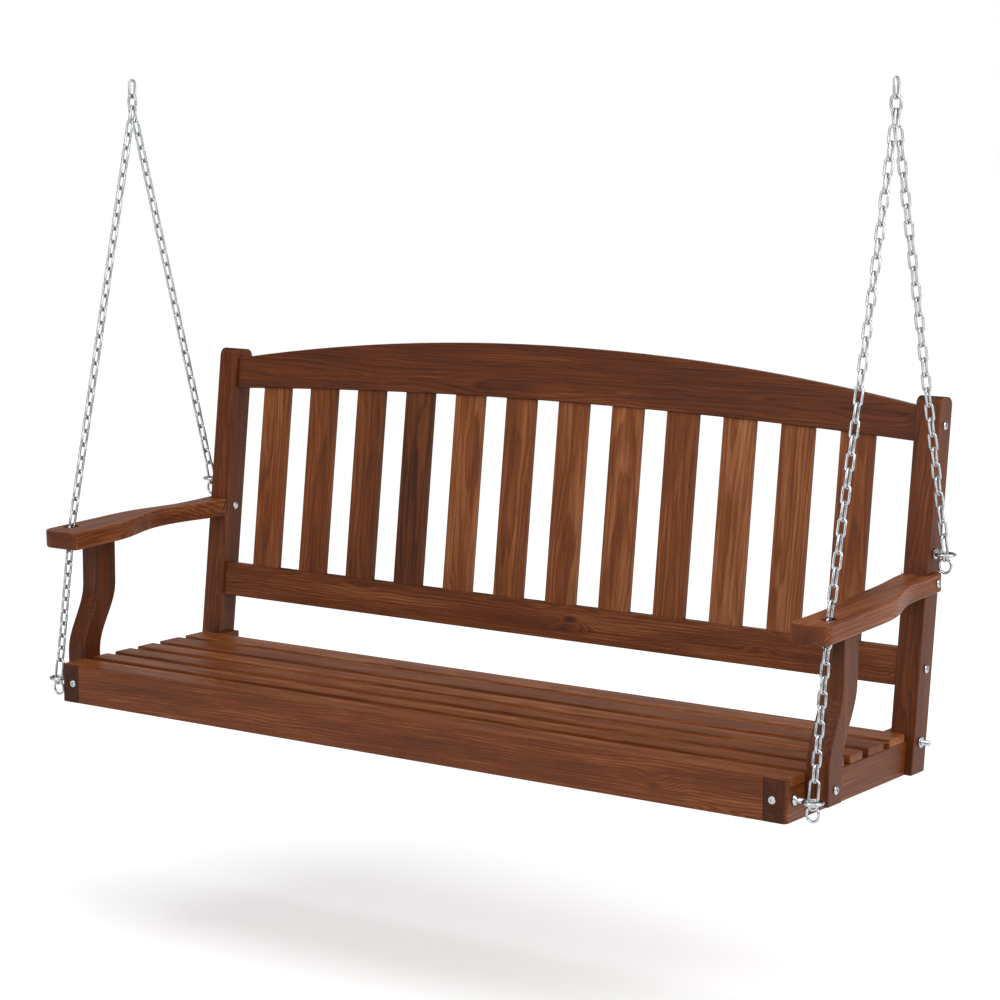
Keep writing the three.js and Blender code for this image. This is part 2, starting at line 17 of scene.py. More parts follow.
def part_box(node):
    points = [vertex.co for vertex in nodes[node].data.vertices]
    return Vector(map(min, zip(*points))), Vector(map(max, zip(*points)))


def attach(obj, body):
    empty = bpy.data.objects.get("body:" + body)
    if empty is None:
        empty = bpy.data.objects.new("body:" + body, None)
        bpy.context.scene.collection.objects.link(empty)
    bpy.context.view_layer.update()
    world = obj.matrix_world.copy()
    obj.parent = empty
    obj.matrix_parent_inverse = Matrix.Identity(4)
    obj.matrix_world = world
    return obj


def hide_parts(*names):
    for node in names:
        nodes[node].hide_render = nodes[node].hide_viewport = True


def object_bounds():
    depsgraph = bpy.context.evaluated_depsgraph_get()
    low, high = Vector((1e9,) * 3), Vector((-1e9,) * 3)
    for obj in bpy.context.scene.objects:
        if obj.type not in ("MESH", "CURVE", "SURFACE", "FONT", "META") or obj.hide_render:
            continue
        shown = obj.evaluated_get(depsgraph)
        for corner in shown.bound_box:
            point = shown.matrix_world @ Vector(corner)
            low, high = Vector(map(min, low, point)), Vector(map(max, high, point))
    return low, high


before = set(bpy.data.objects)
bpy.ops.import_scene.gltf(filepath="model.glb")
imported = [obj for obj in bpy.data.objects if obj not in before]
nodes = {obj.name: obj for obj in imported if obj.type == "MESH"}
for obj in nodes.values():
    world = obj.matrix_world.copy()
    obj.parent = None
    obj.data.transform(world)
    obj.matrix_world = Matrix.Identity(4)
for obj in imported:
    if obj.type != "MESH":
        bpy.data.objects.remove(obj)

cad_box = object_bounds()
print("frame:", len(nodes), "parts, from", list(cad_box[0]), "to", list(cad_box[1]))

# %% [markdown]
# ## Camera, floor and light
# The swing is seen from its front right, a little above the seat, with a long lens. The camera
# is placed by a location and two angles, and its matrix is built from the three directions.

# %% Camera
EYE = Vector((2.757077, -3.843802, -0.050316))
TURN = 0.6136
DIP = 0.1403
ROLL = 0.0038
SENSOR_WIDTH = 36
FOCAL_LENGTH = 99.35


def camera_matrix():
    """The camera's place and direction as one matrix; it looks along its own -Z."""
    ahead = Vector((-math.sin(TURN) * math.cos(DIP), math.cos(TURN) * math.cos(DIP), -math.sin(DIP)))
    side = Vector((math.cos(TURN), math.sin(TURN), 0))
    up = side.cross(ahead)
    right = math.cos(ROLL) * side + math.sin(ROLL) * up
    top = math.cos(ROLL) * up - math.sin(ROLL) * side
    turned = Matrix((right, top, -ahead)).transposed().to_4x4()
    return Matrix.Translation(EYE) @ turned


bpy.ops.object.select_all(action="DESELECT")
bpy.ops.object.camera_add()
camera = bpy.context.object
camera.name = "camera"
camera.matrix_world = camera_matrix()
camera.data.sensor_width = SENSOR_WIDTH
camera.data.lens = FOCAL_LENGTH
bpy.context.scene.camera = camera
print("camera at", [round(c, 2) for c in camera.location], "lens", camera.data.lens)

# %% [markdown]
# Colours are written as the sRGB hex values that a paint chart would give. Shaders work in
# linear light, so one function turns them. A second one adds a shader node with its settings
# and its links, which keeps each recipe below readable.


# %% Colour and node helpers
def linear(code):
    """A hex colour such as 6b3f28 as linear RGBA."""
    parts = [int(code[i:i + 2], 16) / 255 for i in (0, 2, 4)]
    return [c / 12.92 if c <= 0.04045 else ((c + 0.055) / 1.055) ** 2.4 for c in parts] + [1.0]


def add_node(tree, kind, settings=None, **sockets):
    """Adds one node. A socket is given a value, or another node's output to link."""
    made = tree.nodes.new(kind)
    for key, value in (settings or {}).items():
        setattr(made, key, value)
    for key, value in sockets.items():
        name = key.replace("_", " ")
        socket = made.inputs[int(key[1:])] if key[0] == "i" and key[1:].isdigit() else made.inputs[name]
        if isinstance(value, bpy.types.NodeSocket):
            tree.links.new(value, socket)
        else:
            socket.default_value = value
    return made


def new_material(name):
    """An empty material and its shader tree, with only the Principled shader and the output."""
    material = bpy.data.materials.new(name)
    material.use_nodes = True
    tree = material.node_tree
    return material, tree, tree.nodes["Principled BSDF"]


print("linear of 808080:", [round(c, 3) for c in linear("808080")])

# %% [markdown]
# The studio is a plain pale floor that runs off into a white backdrop, so no horizon shows. It
# lies a step below the bench, where a porch floor would be.

# %% Floor
FLOOR_DROP = 0.42
FLOOR = cad_box[0][2] - FLOOR_DROP
bpy.ops.object.select_all(action="DESELECT")
bpy.ops.mesh.primitive_plane_add(size=200, location=(0, 0, FLOOR))
floor = bpy.context.object
floor.name = "studio_floor"
floor.data.materials.append(bpy.data.materials.new("pale_studio_paint"))
floor.data.materials[0].use_nodes = True
paint = floor.data.materials[0].node_tree.nodes["Principled BSDF"]
paint.inputs["Base Color"].default_value = linear("fafafa")
paint.inputs["Roughness"].default_value = 0.9
print("floor at", round(FLOOR, 3), "m")

# %% [markdown]
# A white tent gives even light. It is seen as white, but lights the wood at less than half of
# that, so the varnish stays deep. Large soft lamps shape it: a broad one overhead that also
# keeps the floor white, one on the right where posts and armrests are lightest, and one in front.


# %% Lights
def soft_lamp(name, place, size, power):
    """A square lamp that faces the middle of the bench."""
    bpy.ops.object.select_all(action="DESELECT")
    bpy.ops.object.light_add(type="AREA", location=place)
    lamp = bpy.context.object
    lamp.name = name
    lamp.data.size = size
    lamp.data.energy = power
    aim = Vector((0, 0, -0.7)) - Vector(place)
    lamp.rotation_euler = aim.to_track_quat("-Z", "Y").to_euler()


soft_lamp("lamp_right", (4.4, 0.2, 1.2), 2.5, 120)
soft_lamp("lamp_front", (-0.5, -4.8, 1.6), 3.0, 100)
bpy.ops.object.light_add(type="SUN", rotation=(0.25, 0.2, 0))
overhead = bpy.context.object
overhead.name = "lamp_overhead"
overhead.data.energy = 2.1
overhead.data.angle = math.radians(80)
world = bpy.data.worlds.new("white_tent")
world.use_nodes = True
sky = world.node_tree
seen = add_node(sky, "ShaderNodeLightPath").outputs["Is Camera Ray"]
bright = add_node(sky, "ShaderNodeMath", {"operation": "MULTIPLY_ADD"}, i0=seen, i1=0.55, i2=0.45)
sky.nodes["Background"].inputs["Color"].default_value = linear("ffffff")
sky.links.new(bright.outputs[0], sky.nodes["Background"].inputs["Strength"])
bpy.context.scene.world = world
bpy.context.scene.view_settings.view_transform = "Standard"

# %% [markdown]
# ## Stained pine
# The bench is softwood, planed, brushed with a brown stain and finished in a satin varnish. Pine
# shows growth rings 3 to 6 mm apart. Sawn along the tree they become long stripes and pointed
# arches, and across it they are arcs, so the pattern is made solid: rings round the tree's
# heart, cut by whatever face the board has. Each board carries its own coordinates in
# millimetres as an attribute: along the grain, across it, and through it.

# %% Grain coordinates for a board
RECLINE = math.radians(6.65)
ARM_RISE = math.atan(0.04)
ALONG_X = Vector((1, 0, 0))
ALONG_Y = Vector((0, 1, 0))
ALONG_Z = Vector((0, 0, 1))
ALONG_BACK = Vector((0, math.sin(RECLINE), math.cos(RECLINE)))
ALONG_ARM = Vector((0, math.cos(ARM_RISE), math.sin(ARM_RISE)))


def lay_grain(piece, along, heart=None, tone=None, end_share=1.0):
    """Writes the board's own coordinates, its tone (which on the posts and supports also holds painted
    shade, and on the armrests a painted sheen), and which faces are sawn ends.
    """
    chance = random.Random(piece.name)
    mesh = piece.data
    place = np.empty(len(mesh.vertices) * 3)
    mesh.vertices.foreach_get("co", place)
    place = place.reshape(-1, 3) * 1000
    middle = (place.min(0) + place.max(0)) / 2
    across = ALONG_Z.cross(along) if abs(along.z) < 0.5 else ALONG_X
    through = along.cross(across).normalized()
    own = (place - middle) @ np.array([along, across.normalized(), through]).T
    if heart is None:
        heart = (chance.uniform(-22, 22), chance.choice((-1, 1)) * chance.uniform(26, 60))
    tilt = (chance.uniform(-0.012, 0.012), chance.uniform(-0.02, 0.02))
    own[:, 1] += heart[0] + tilt[0] * own[:, 0]
    own[:, 2] += heart[1] + tilt[1] * own[:, 0]
    own[:, 0] += chance.uniform(0, 9000)
    grain = mesh.attributes.new("grain", "FLOAT_VECTOR", "POINT")
    grain.data.foreach_set("vector", own.astype(np.float32).ravel())
    shade = chance.uniform(-1, 1) if tone is None else tone
    tones = mesh.attributes.new("tone", "FLOAT", "POINT")
    tones.data.foreach_set("value", np.full(len(mesh.vertices), shade, np.float32))
    ends = mesh.attributes.new("sawn_end", "FLOAT", "FACE")
    facing = [end_share * max(0, abs(face.normal.dot(along)) * 1.7 - 0.7) for face in mesh.polygons]
    ends.data.foreach_set("value", facing)


print("grain directions ready")

# %% [markdown]
# The colour is built in layers, as stain on pine is: a broad cloudiness where the wood drank
# more, ring lines, fine fibres about a millimetre wide, and here and there a small knot that
# the rings flow round. Sawn ends drink the most stain, so they are darker and duller. The same
# fibres raise the surface by up to a tenth of a millimetre, which breaks up the varnish's shine.


# %% Pine recipe
def stained_pine(name, dark, brown, light, ring_gap=4.4, roughness=0.42):
    """Pine under brown stain and satin varnish; ring_gap is in millimetres."""
    material, tree, shader = new_material(name)
    grain = add_node(tree, "ShaderNodeAttribute", {"attribute_name": "grain"}).outputs["Vector"]
    tone = add_node(tree, "ShaderNodeAttribute", {"attribute_name": "tone"}).outputs["Fac"]
    sawn = add_node(tree, "ShaderNodeAttribute", {"attribute_name": "sawn_end"}).outputs["Fac"]

    def maths(how, a, b=0.0, c=0.0):
        return add_node(tree, "ShaderNodeMath", {"operation": how}, i0=a, i1=b, i2=c).outputs[0]

    def stretched(size, detail, rough=0.5):
        """Noise whose lumps measure size (mm) along, across and through the board."""
        scale = tuple(1 / s for s in size)
        mapped = add_node(tree, "ShaderNodeMapping", Vector=grain, Scale=scale).outputs[0]
        return add_node(tree, "ShaderNodeTexNoise", Vector=mapped, Scale=1.0, Detail=detail,
                        Roughness=rough).outputs[0]

    # knots: one chance in every 300 x 120 x 120 mm of wood
    cell = add_node(tree, "ShaderNodeMapping", Vector=grain, Scale=(1 / 300, 1 / 120, 1 / 120)).outputs[0]
    spot = add_node(tree, "ShaderNodeTexVoronoi", Vector=cell, Scale=1.0).outputs["Distance"]
    knot = add_node(tree, "ShaderNodeMapRange", {"interpolation_type": "SMOOTHERSTEP"},
                    i0=spot, i1=0.02, i2=0.26, i3=1.0, i4=0.0).outputs[0]
    core = add_node(tree, "ShaderNodeMapRange", {"interpolation_type": "SMOOTHSTEP"},
                    i0=spot, i1=0.025, i2=0.07, i3=1.0, i4=0.0).outputs[0]

    # rings: distance from the heart, swayed along the board and pushed out round a knot
    flat = add_node(tree, "ShaderNodeVectorMath", {"operation": "MULTIPLY"},
                    i0=grain, i1=(0, 1, 1)).outputs[0]
    away = add_node(tree, "ShaderNodeVectorMath", {"operation": "LENGTH"}, i0=flat).outputs["Value"]
    sway = maths("MULTIPLY_ADD", stretched((320, 42, 42), 2), 26.0, away)
    around = maths("MULTIPLY_ADD", knot, 15.0, sway)
    ring = maths("FRACT", maths("DIVIDE", around, ring_gap))
    late = add_node(tree, "ShaderNodeValToRGB", Fac=ring)
    late.color_ramp.elements[0].position = 0.30
    late.color_ramp.elements[0].color = (0, 0, 0, 1)
    late.color_ramp.elements[1].position = 0.86
    late.color_ramp.elements[1].color = (1, 1, 1, 1)
    fall = late.color_ramp.elements.new(1.0)
    fall.color = (0, 0, 0, 1)

    fibre = stretched((42, 0.9, 0.9), 3, 0.6)
    cloud = stretched((260, 26, 26), 3)
    streak = stretched((240, 4, 4), 2)

    # 0 is the darkest stain and 1 the lightest
    light_share = maths("MULTIPLY_ADD", cloud, 0.70, 0.53 - 0.35)
    light_share = maths("MULTIPLY_ADD", fibre, 0.60, maths("SUBTRACT", light_share, 0.30))
    light_share = maths("MULTIPLY_ADD", streak, 0.44, maths("SUBTRACT", light_share, 0.22))
    light_share = maths("MULTIPLY_ADD", late.outputs[0], -0.20, light_share)
    # the board's tone; on the back posts and arm supports it is lowered as painted shade, and on the
    # armrests raised partly as a painted sheen
    light_share = maths("MULTIPLY_ADD", tone, 0.16, light_share)
    light_share = maths("MULTIPLY_ADD", core, -0.45, light_share)
    light_share = maths("MULTIPLY_ADD", sawn, -0.36, light_share)
    shade = add_node(tree, "ShaderNodeValToRGB", Fac=light_share)
    shade.color_ramp.elements[0].position = 0.0
    shade.color_ramp.elements[0].color = linear(dark)
    shade.color_ramp.elements[1].position = 1.0
    shade.color_ramp.elements[1].color = linear(light)
    middle = shade.color_ramp.elements.new(0.48)
    middle.color = linear(brown)
    tree.links.new(shade.outputs[0], shader.inputs["Base Color"])

    rough = maths("MULTIPLY_ADD", fibre, 0.16, roughness - 0.08)
    tree.links.new(maths("MULTIPLY_ADD", sawn, 0.2, rough), shader.inputs["Roughness"])
    raised = maths("MULTIPLY_ADD", late.outputs[0], 0.25, fibre)
    shader.inputs["Specular IOR Level"].default_value = 0.16
    bump = add_node(tree, "ShaderNodeBump", Strength=0.35, Distance=0.00025, Height=raised)
    tree.links.new(bump.outputs[0], shader.inputs["Normal"])
    return material


frame_pine = stained_pine("stained_pine", "280f04", "592a0c", "925a36")
slat_pine = stained_pine("stained_pine_slat", "321508", "653413", "9a6440", ring_gap=5.2)
print("made", frame_pine.name, "and", slat_pine.name)

# %% [markdown]
# ## Zinc-plated steel
# The chain, rings and bolts are mild steel with a bright zinc plate: a light grey, with a faint
# cloudy spangle a few millimetres across that changes the gloss more than the colour.


# %% Zinc recipe
def zinc_plate(name, pale, grey, gloss):
    """Bright zinc plating on steel wire and bolts."""
    material, tree, shader = new_material(name)
    place = add_node(tree, "ShaderNodeTexCoord").outputs["Object"]
    cloud = add_node(tree, "ShaderNodeTexNoise", Vector=place, Scale=260.0, Detail=3.0).outputs[0]
    tint = add_node(tree, "ShaderNodeMix", {"data_type": "RGBA"})
    tree.links.new(cloud, tint.inputs[0])
    tint.inputs[6].default_value = linear(grey)
    tint.inputs[7].default_value = linear(pale)
    tree.links.new(tint.outputs[2], shader.inputs["Base Color"])
    rough = add_node(tree, "ShaderNodeMath", {"operation": "MULTIPLY_ADD"}, i0=cloud, i1=0.14, i2=gloss)
    tree.links.new(rough.outputs[0], shader.inputs["Roughness"])
    shader.inputs["Metallic"].default_value = 1.0
    return material


zinc = zinc_plate("zinc_plated_steel", "c6c9cb", "8b8f92", 0.17)
print("made", zinc.name)

# %% [markdown]
# ## The boards
# Each board in the frame already has its true shape and its bolt holes, but its edges are knife
# sharp. A joiner runs a plane or a router along every arris. So a copy of the board is merged
# into one skin, its flat faces are cleared of loose triangles, and its edges are bevelled.


# %% Easing a board's edges
def only(piece):
    """Selects one piece and nothing else, because an operator acts on all that is selected."""
    bpy.ops.object.select_all(action="DESELECT")
    piece.select_set(True)
    bpy.context.view_layer.objects.active = piece


def finish_piece(piece, material, body, slot, *stands_for):
    """Gives a piece its finish, its body and the frame's parts that it stands for."""
    piece.data.materials.clear()
    piece.data.materials.append(material)
    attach(piece, body)
    if stands_for:
        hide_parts(*stands_for)


BOLTS = ("top_rail_bolt", "lower_rail_bolt", "arm_support_bolt", "armrest_bolt", "rear_seat_bolt")


def middle_of(node):
    """The height and depth of a bolt's axis, which runs along X."""
    low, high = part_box(node)
    return Vector((0, (low.y + high.y) / 2, (low.z + high.z) / 2))


FRONT_EYE = Vector((0.790, -0.221, -1.092))
REAR_EYE = Vector((0.790, 0.21307, -0.76612))
BOLT_AXES = [middle_of(name + "_right") for name in BOLTS] + [REAR_EYE, FRONT_EYE]
BORE_REACH = 0.0062
ENDS_FROM = 0.680


def pick(piece, wanted):
    """Opens a piece in edit mode with only the wanted corners selected, by their place."""
    mesh = piece.data
    for vertex in mesh.vertices:
        vertex.select = wanted(vertex.co)
    for part in list(mesh.edges) + list(mesh.polygons):
        part.select = all(mesh.vertices[v].select for v in part.vertices)
    bpy.ops.object.mode_set(mode="EDIT")


def in_a_bore(spot):
    """True for a corner on the rim or wall of a bolt hole; they are all near the swing's ends."""
    return abs(spot.x) > ENDS_FROM and any(
        math.hypot(spot.y - axis.y, spot.z - axis.z) < BORE_REACH for axis in BOLT_AXES)


def eased_board(node, ease):
    """A copy of a board with its arrises rounded to a radius in millimetres."""
    piece = bpy.data.objects.new(node + "_eased", nodes[node].data.copy())
    bpy.context.collection.objects.link(piece)
    only(piece)
    bpy.ops.object.mode_set(mode="EDIT")
    bpy.ops.mesh.select_all(action="SELECT")
    bpy.ops.mesh.remove_doubles(threshold=0.00002)
    bpy.ops.mesh.customdata_custom_splitnormals_clear()
    bpy.ops.mesh.dissolve_limited(angle_limit=math.radians(0.15))
    bpy.ops.object.mode_set(mode="OBJECT")
    pick(piece, in_a_bore)
    bpy.ops.mesh.delete(type="VERT")
    bpy.ops.mesh.select_all(action="SELECT")
    bpy.ops.mesh.fill_holes(sides=0)
    bpy.ops.mesh.select_all(action="SELECT")
    bpy.ops.mesh.normals_make_consistent(inside=False)
    bpy.ops.object.mode_set(mode="OBJECT")
    rounding = piece.modifiers.new("eased", "BEVEL")
    rounding.width = ease / 1000
    rounding.segments = 3
    rounding.limit_method = "ANGLE"
    rounding.angle_limit = math.radians(40)
    rounding.use_clamp_overlap = False
    bpy.ops.object.modifier_apply(modifier="eased")
    bpy.ops.object.shade_smooth_by_angle(angle=math.radians(40))
    flatten = piece.modifiers.new("flat_faces", "WEIGHTED_NORMAL")
    flatten.keep_sharp = True
    bpy.ops.object.modifier_apply(modifier="flat_faces")
    return piece


def board(node, along, ease, material, slot, **grain):
    """One finished board."""
    piece = eased_board(node, ease)
    lay_grain(piece, along, **grain)
    finish_piece(piece, material, "bench", slot, node)
    return piece


# %% The seat frame
seat = [
    board("front_rail", ALONG_X, 2.0, frame_pine, "stained_pine", heart=(20, 46), tone=-0.2),
    board("rear_seat_rail", ALONG_X, 1.5, frame_pine, "stained_pine"),
    board("centre_bearer", ALONG_Y, 1.5, frame_pine, "stained_pine"),
    board("side_rail_left", ALONG_Y, 1.5, frame_pine, "stained_pine", tone=-0.3),
    board("side_rail_right", ALONG_Y, 1.5, frame_pine, "stained_pine", tone=-0.1),
]
print("seat frame:", [len(p.data.polygons) for p in seat], "faces")

# %% [markdown]
# The six seat slats run over the rails with a finger's gap between them. They are cut from
# lighter boards than the frame, each with its own figure.

# %% The seat slats
for number in range(1, 7):
    board(f"seat_slat_{number}", ALONG_X, 1.2, slat_pine, "slat_pine", end_share=0.15)
print("six seat slats")

# %% [markdown]
# The back leans 6.65 degrees. Its top rail is sawn to a long arch, and the twelve slats are
# let into grooves in both rails. The third and fourth are darker than their neighbours.

# %% The back
TONES = [0.1, -0.4, -1.0, -1.7, 0.2, -0.2, 0.2, 0.5, -0.2, 0.9, 0.3, 0.1]
for side in ("left", "right"):
    # the posts' darker tone is painted shade, for the shade on their front and left faces
    board(f"back_post_{side}", ALONG_BACK, 2.5, frame_pine, "stained_pine", tone=-0.7)
board("lower_back_rail", ALONG_X, 2.0, frame_pine, "stained_pine", tone=0.1)
board("top_rail", ALONG_X, 2.5, frame_pine, "stained_pine", heart=(0, 17))
for number, tone in enumerate(TONES, 1):
    board(f"back_slat_{number}", ALONG_BACK, 1.5, slat_pine, "slat_pine", tone=tone)
print("back with", len(TONES), "slats")

# %% [markdown]
# Each armrest is a broad board with a waist, bored for the front chain and notched round the
# post. Its edges are touched by every hand, so they are rounder. The support under it is
# sawn to a shallow S.

# %% The arms
for side in ("left", "right"):
    # the armrests' lighter tone is partly the board's own and partly a painted sheen, for the varnish
    # shine on their tops
    board(f"armrest_{side}", ALONG_ARM, 3.0, frame_pine, "stained_pine", tone=0.5, end_share=0.7)
    # the supports' darker tone is painted shade, for the shade on their front and left faces
    board(f"arm_support_{side}", ALONG_Z, 2.5, frame_pine, "stained_pine", tone=-1.1)
print("two armrests on two supports")

# %% [markdown]
# ## Chain
# The frame holds a plain bar for each run of chain. The real thing is welded link, about 18 mm
# wide in 4.6 mm wire. A link is a torus cut through its middle and pulled apart: half its ring
# is moved up and half down, and the faces between stretch into straight sides.


# %% One link
def wire_link(name, wire, width, length, turns=14, sides=8):
    """A long link standing in the XZ plane round the origin; sizes in millimetres."""
    bpy.ops.object.select_all(action="DESELECT")
    bpy.ops.mesh.primitive_torus_add(
        major_segments=turns, minor_segments=sides, rotation=(math.pi / 2, math.pi / turns, 0),
        major_radius=(width - wire) / 2000, minor_radius=wire / 2000)
    link = bpy.context.object
    link.name = name
    bpy.ops.object.transform_apply(location=False, rotation=True, scale=False)
    for half in (1, -1):
        pick(link, lambda spot: spot.z * half > 0)
        bpy.ops.transform.translate(value=(0, 0, half * (length - width) / 2000))
        bpy.ops.object.mode_set(mode="OBJECT")
    bpy.ops.object.shade_smooth()
    return link


def copy_at(source, name, matrix):
    """Another of the same piece, with its own mesh and its place in the mesh."""
    twin = bpy.data.objects.new(name, source.data.copy())
    bpy.context.collection.objects.link(twin)
    twin.data.transform(matrix)
    return twin


def join_pieces(name, pieces):
    """Several pieces as one object."""
    bpy.ops.object.select_all(action="DESELECT")
    for piece in pieces:
        piece.select_set(True)
    bpy.context.view_layer.objects.active = pieces[0]
    bpy.ops.object.join()
    whole = bpy.context.object
    whole.name = name
    whole.data.name = name
    return whole


print("link tools ready")

# %% [markdown]
# Links lie end to end along a straight line, each turned a quarter from the last. Their inner
# length is the pitch, because that is how far the next link's wire can reach. The run is
# divided evenly, so the last link ends exactly where the run does.

# %% Runs of chain
WIRE = 4.6
LINK_WIDTH = 17.6
END_LINK = 42.0
END_LINK_WIDTH = 21.0
RING_DROP = 8.8
UPPER_LINKS, LOWER_LINKS, REAR_LINKS = 31, 11, 28
FIRST_LINK_SHIFT = 0.0026


def chain_run(name, start, end, count, last, shift=0.0):
    """Links from start to end; the last one may be longer, to reach through an eye."""
    line = end - start
    length = line.length * 1000
    pitch = (length - last) / count if last else length / count
    upright = ALONG_Z.rotation_difference(-line).to_matrix().to_4x4()
    quarter = Matrix.Rotation(math.pi / 2, 4, "Z")
    link = wire_link(name + "_pattern", WIRE, LINK_WIDTH, pitch + 2 * WIRE)
    made = []
    for k in range(count):
        middle = start + line.normalized() * ((k + 0.5) * pitch / 1000)
        if k == 0:
            middle = middle + Vector((shift, 0, 0))
        turn = quarter if k % 2 == 0 else Matrix.Identity(4)
        made.append(copy_at(link, "link", Matrix.Translation(middle) @ upright @ turn))
    if last:
        long_link = wire_link(name + "_long", WIRE, END_LINK_WIDTH, last + 2 * WIRE, turns=18)
        middle = start + line.normalized() * ((length - last / 2) / 1000)
        turn = quarter if count % 2 == 0 else Matrix.Identity(4)
        made.append(copy_at(long_link, "link", Matrix.Translation(middle) @ upright @ turn))
        bpy.data.objects.remove(long_link)
    bpy.data.objects.remove(link)
    print(name, len(made), "links at", round(pitch, 2), "mm")
    return join_pieces(name, made)


# %% [markdown]
# The places come from the frame. The chains leave the bottom of the top ring, the front one
# bends where it enters the armrest, and each ends below its eye, round the ring that hangs
# there: that ring is too wide to pull back through the eye.

# %% All the chains
ring_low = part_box("top_ring_right")[0]
RING_WIRE = 0.005
TOP = Vector((0.790, 0, ring_low.z + RING_WIRE))
BEND = Vector((0.790, -0.180, -0.81336))


def past(start, end, more):
    """The point a little past the end of a line."""
    return end + (end - start).normalized() * more


for side, flip in (("right", 1), ("left", -1)):
    across = Matrix.Diagonal((flip, 1, 1, 1))
    top, bend = across @ TOP, across @ BEND
    front, rear = across @ FRONT_EYE, across @ REAR_EYE
    drop = RING_DROP / 1000
    upper = chain_run(f"chain_front_upper_{side}", top, bend, UPPER_LINKS, 0, FIRST_LINK_SHIFT)
    lower = chain_run(
        f"chain_front_lower_{side}", bend, past(bend, front, drop), LOWER_LINKS, END_LINK)
    back = chain_run(
        f"chain_rear_{side}", top, past(top, rear, drop), REAR_LINKS, END_LINK, -FIRST_LINK_SHIFT)
    finish_piece(upper, zinc, f"chains_{side}", "zinc_plated_steel", f"front_chain_upper_{side}")
    finish_piece(back, zinc, f"chains_{side}", "zinc_plated_steel", f"rear_chain_{side}")
    finish_piece(lower, zinc, "bench", "zinc_plated_steel", f"front_chain_lower_{side}")

# %% [markdown]
# ## Rings
# The hanger link takes the ceiling hook, the top ring gathers two chains, and an end ring hangs
# in each eye. All are the same shape as a link in heavier wire, and smoother because they are few.


# %% Hanger links, top rings and end rings
def ring_for(node, wire, width, body, turned):
    """A ring in the place of the frame's ring, with its width along X, or along Y if turned."""
    low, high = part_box(node)
    length = (high.z - low.z) * 1000
    ring = wire_link(node + "_round", wire, width, length, turns=28, sides=14)
    turn = Matrix.Rotation(math.pi / 2, 4, "Z") if turned else Matrix.Identity(4)
    ring.data.transform(Matrix.Translation((low + high) / 2) @ turn)
    finish_piece(ring, zinc, body, "zinc_plated_steel", node)


for side in ("left", "right"):
    ring_for(f"hanger_link_{side}", 5, 20, "hangers", True)
    ring_for(f"top_ring_{side}", 5, 22, "top_rings", False)
    for end in ("front", "rear"):
        ring_for(f"end_ring_{end}_{side}", 4.8, 26, f"end_ring_{end}_{side}", False)
print("eight rings")

# %% [markdown]
# ## Eye bolts
# A forged eye bolt has a round ring, a short neck that swells into a collar, and a shank in the
# wood. The neck is drawn out of a ring of edges by extruding and scaling, which gives the
# collar its turned profile in one skin.


# %% Turned parts
def turned_along_x(name, profile, sides=32):
    """A round solid from (x, radius) pairs in millimetres, closed at both ends."""
    bpy.ops.object.select_all(action="DESELECT")
    first_x, first_radius = profile[0]
    bpy.ops.mesh.primitive_circle_add(
        vertices=sides, radius=first_radius / 1000, fill_type="NGON",
        rotation=(0, math.pi / 2, 0), location=(0, 0, 0))
    part = bpy.context.object
    part.name = name
    bpy.ops.object.transform_apply(location=False, rotation=True, scale=False)
    part.data.transform(Matrix.Translation((first_x / 1000, 0, 0)))
    bpy.ops.object.mode_set(mode="EDIT")
    bpy.ops.mesh.select_all(action="SELECT")
    before_x, before_radius = first_x, first_radius
    for x, radius in profile[1:]:
        step = ((x - before_x) / 1000, 0, 0)
        bpy.ops.mesh.extrude_region_move(TRANSFORM_OT_translate={"value": step})
        share = radius / before_radius
        bpy.ops.transform.resize(value=(1, share, share), center_override=(x / 1000, 0, 0))
        before_x, before_radius = x, radius
    bpy.ops.mesh.select_all(action="SELECT")
    bpy.ops.mesh.normals_make_consistent(inside=False)
    bpy.ops.object.mode_set(mode="OBJECT")
    bpy.ops.object.shade_smooth_by_angle(angle=math.radians(32))
    return part


def eye_bolt(name, face, eye_x):
    """An eye bolt along X: its collar on the wood at x = face, its ring centred at eye_x."""
    neck_end = eye_x - 15
    swell = min(3.0, (neck_end - face - 2.5) / 2)
    neck = turned_along_x(name + "_neck", [
        (face - 30, 3.9), (face + 0.3, 4.0), (face + 0.3, 8.4), (face + 0.8, 9.0), (face + 2.2, 9.0),
        (face + 2.8, 8.5), (face + 2.8 + swell, 5.0), (neck_end - 1.0, 4.5), (neck_end + 1.5, 3.2)])
    bpy.ops.object.select_all(action="DESELECT")
    bpy.ops.mesh.primitive_torus_add(
        major_segments=40, minor_segments=16, major_radius=0.015, minor_radius=0.003)
    ring = bpy.context.object
    ring.data.transform(Matrix.Translation((eye_x / 1000, 0, 0)))
    bpy.ops.object.shade_smooth()
    return join_pieces(name, [neck, ring])


def mirror_x(piece):
    """Turns a right-hand piece into the left-hand one, with its faces still pointing out."""
    piece.data.transform(Matrix.Diagonal((-1, 1, 1, 1)))
    piece.data.flip_normals()


def on_both_sides(pattern, node, place, body="bench"):
    """Puts a right-hand pattern in its place, and its mirror image on the left."""
    for side in ("right", "left"):
        piece = copy_at(pattern, f"{node}_{side}_turned", Matrix.Translation(place))
        if side == "left":
            mirror_x(piece)
        finish_piece(piece, zinc, body, "zinc_plated_steel", f"{node}_{side}")
    bpy.data.objects.remove(pattern)


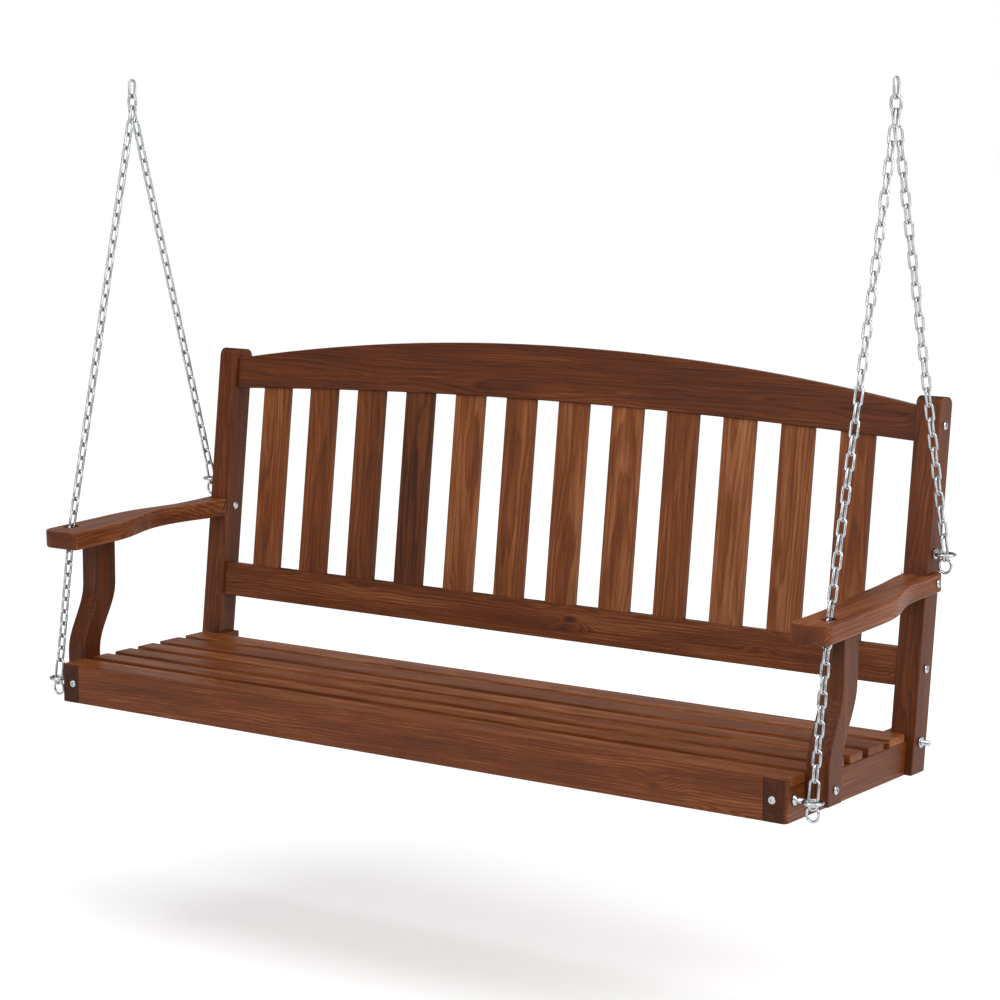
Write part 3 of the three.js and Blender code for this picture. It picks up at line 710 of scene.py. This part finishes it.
# %% Front and rear eye bolts
SIDE_FACE = 758.0
POST_FACE = 771.0
front_eye = eye_bolt("front_eye_pattern", SIDE_FACE, 790.0)
nut = turned_along_x("nut_pattern", [
    (-22, 5.6), (-21.2, 6.5), (21.2, 6.5), (22, 5.6), (22, 3.0), (20, 2.8)])
nut.data.transform(Matrix.Translation((0.732, -0.003, 0)) @ Matrix.Rotation(-math.pi / 2, 4, "Z"))
front_eye = join_pieces("front_eye_pattern", [front_eye, nut])
on_both_sides(front_eye, "eye_bolt_front", Vector((0, FRONT_EYE.y, FRONT_EYE.z)))
rear_eye = eye_bolt("rear_eye_pattern", POST_FACE, 790.0)
on_both_sides(rear_eye, "eye_bolt_rear", Vector((0, REAR_EYE.y, REAR_EYE.z)))
print("four eye bolts")

# %% [markdown]
# ## Bolts
# The frame is drawn together by round-headed furniture bolts with a hexagon socket. The head is
# turned to a low dome, then a six-sided pin is cut out of it with a boolean, as the real socket
# is punched.


# %% A bolt with a socket
def socket_bolt(name, face, reach):
    """A bolt along X with its domed head on the wood at x = face."""
    head = turned_along_x(name, [
        (face - reach, 3.2), (face - reach + 1, 4.0), (face + 0.3, 4.0), (face + 0.3, 6.6),
        (face + 0.7, 7.0), (face + 1.6, 7.0), (face + 2.5, 6.2), (face + 3.1, 4.4), (face + 3.3, 3.4)])
    bpy.ops.object.select_all(action="DESELECT")
    bpy.ops.mesh.primitive_cylinder_add(
        vertices=6, radius=0.0026, depth=0.006, rotation=(0, math.pi / 2, 0),
        location=((face + 4.0) / 1000, 0, 0))
    pin = bpy.context.object
    only(head)
    punch = head.modifiers.new("socket", "BOOLEAN")
    punch.operation = "DIFFERENCE"
    punch.object = pin
    bpy.ops.object.modifier_apply(modifier="socket")
    bpy.data.objects.remove(pin)
    bpy.ops.object.shade_smooth_by_angle(angle=math.radians(32))
    return head


for node in ("top_rail_bolt", "lower_rail_bolt"):
    on_both_sides(socket_bolt(node + "_pattern", POST_FACE, 82), node, middle_of(node + "_right"))
support_face = SIDE_FACE + 40.3
support_bolt = socket_bolt("support_bolt_pattern", support_face, 66.3)
on_both_sides(support_bolt, "arm_support_bolt", middle_of("arm_support_bolt_right"))
print("six rail and support bolts")

# %% [markdown]
# The armrest's bolt goes right through the post and ends in a cap nut inside. The rear corner
# of the seat is held by a threaded rod with a washer on each side and a short stub of thread.

# %% Armrest bolts and rear rods
POST_INNER = 727.0
arm_bolt = socket_bolt("arm_bolt_pattern", POST_FACE + 10, 54)
cap = turned_along_x("cap_nut", [
    (POST_INNER - 3.3, 3.0), (POST_INNER - 3.1, 4.4), (POST_INNER - 2.4, 6.2),
    (POST_INNER - 1.4, 7.0), (POST_INNER - 0.3, 7.0)])
arm_bolt = join_pieces("arm_bolt_pattern", [arm_bolt, cap])
on_both_sides(arm_bolt, "armrest_bolt", middle_of("armrest_bolt_right"))


def washer(name, start):
    """A washer with softened rims."""
    return turned_along_x(name, [
        (start, 8.4), (start + 0.5, 9.0), (start + 2.0, 9.0), (start + 2.5, 8.4)])


def thread(name, start, length, pitch=1.5):
    """A stub of thread, drawn as a row of ridges."""
    profile = [(start, 3.8)]
    for k in range(int(length / pitch)):
        profile += [(start + (k + 0.5) * pitch, 4.5), (start + (k + 1) * pitch, 3.8)]
    return turned_along_x(name, profile, sides=24)


rod = turned_along_x("rod", [(712.2, 3.6), (713, 4.4), (771, 4.4), (774, 4.4)])
inner_washer = washer("inner_washer", 711.9)
outer_washer = washer("outer_washer", POST_FACE + 0.3)
stub = thread("stub", POST_FACE + 2.3, 15.0)
rod = join_pieces("rear_rod_pattern", [rod, inner_washer, outer_washer, stub])
on_both_sides(rod, "rear_seat_bolt", middle_of("rear_seat_bolt_right"))
print("armrest bolts and rear rods")
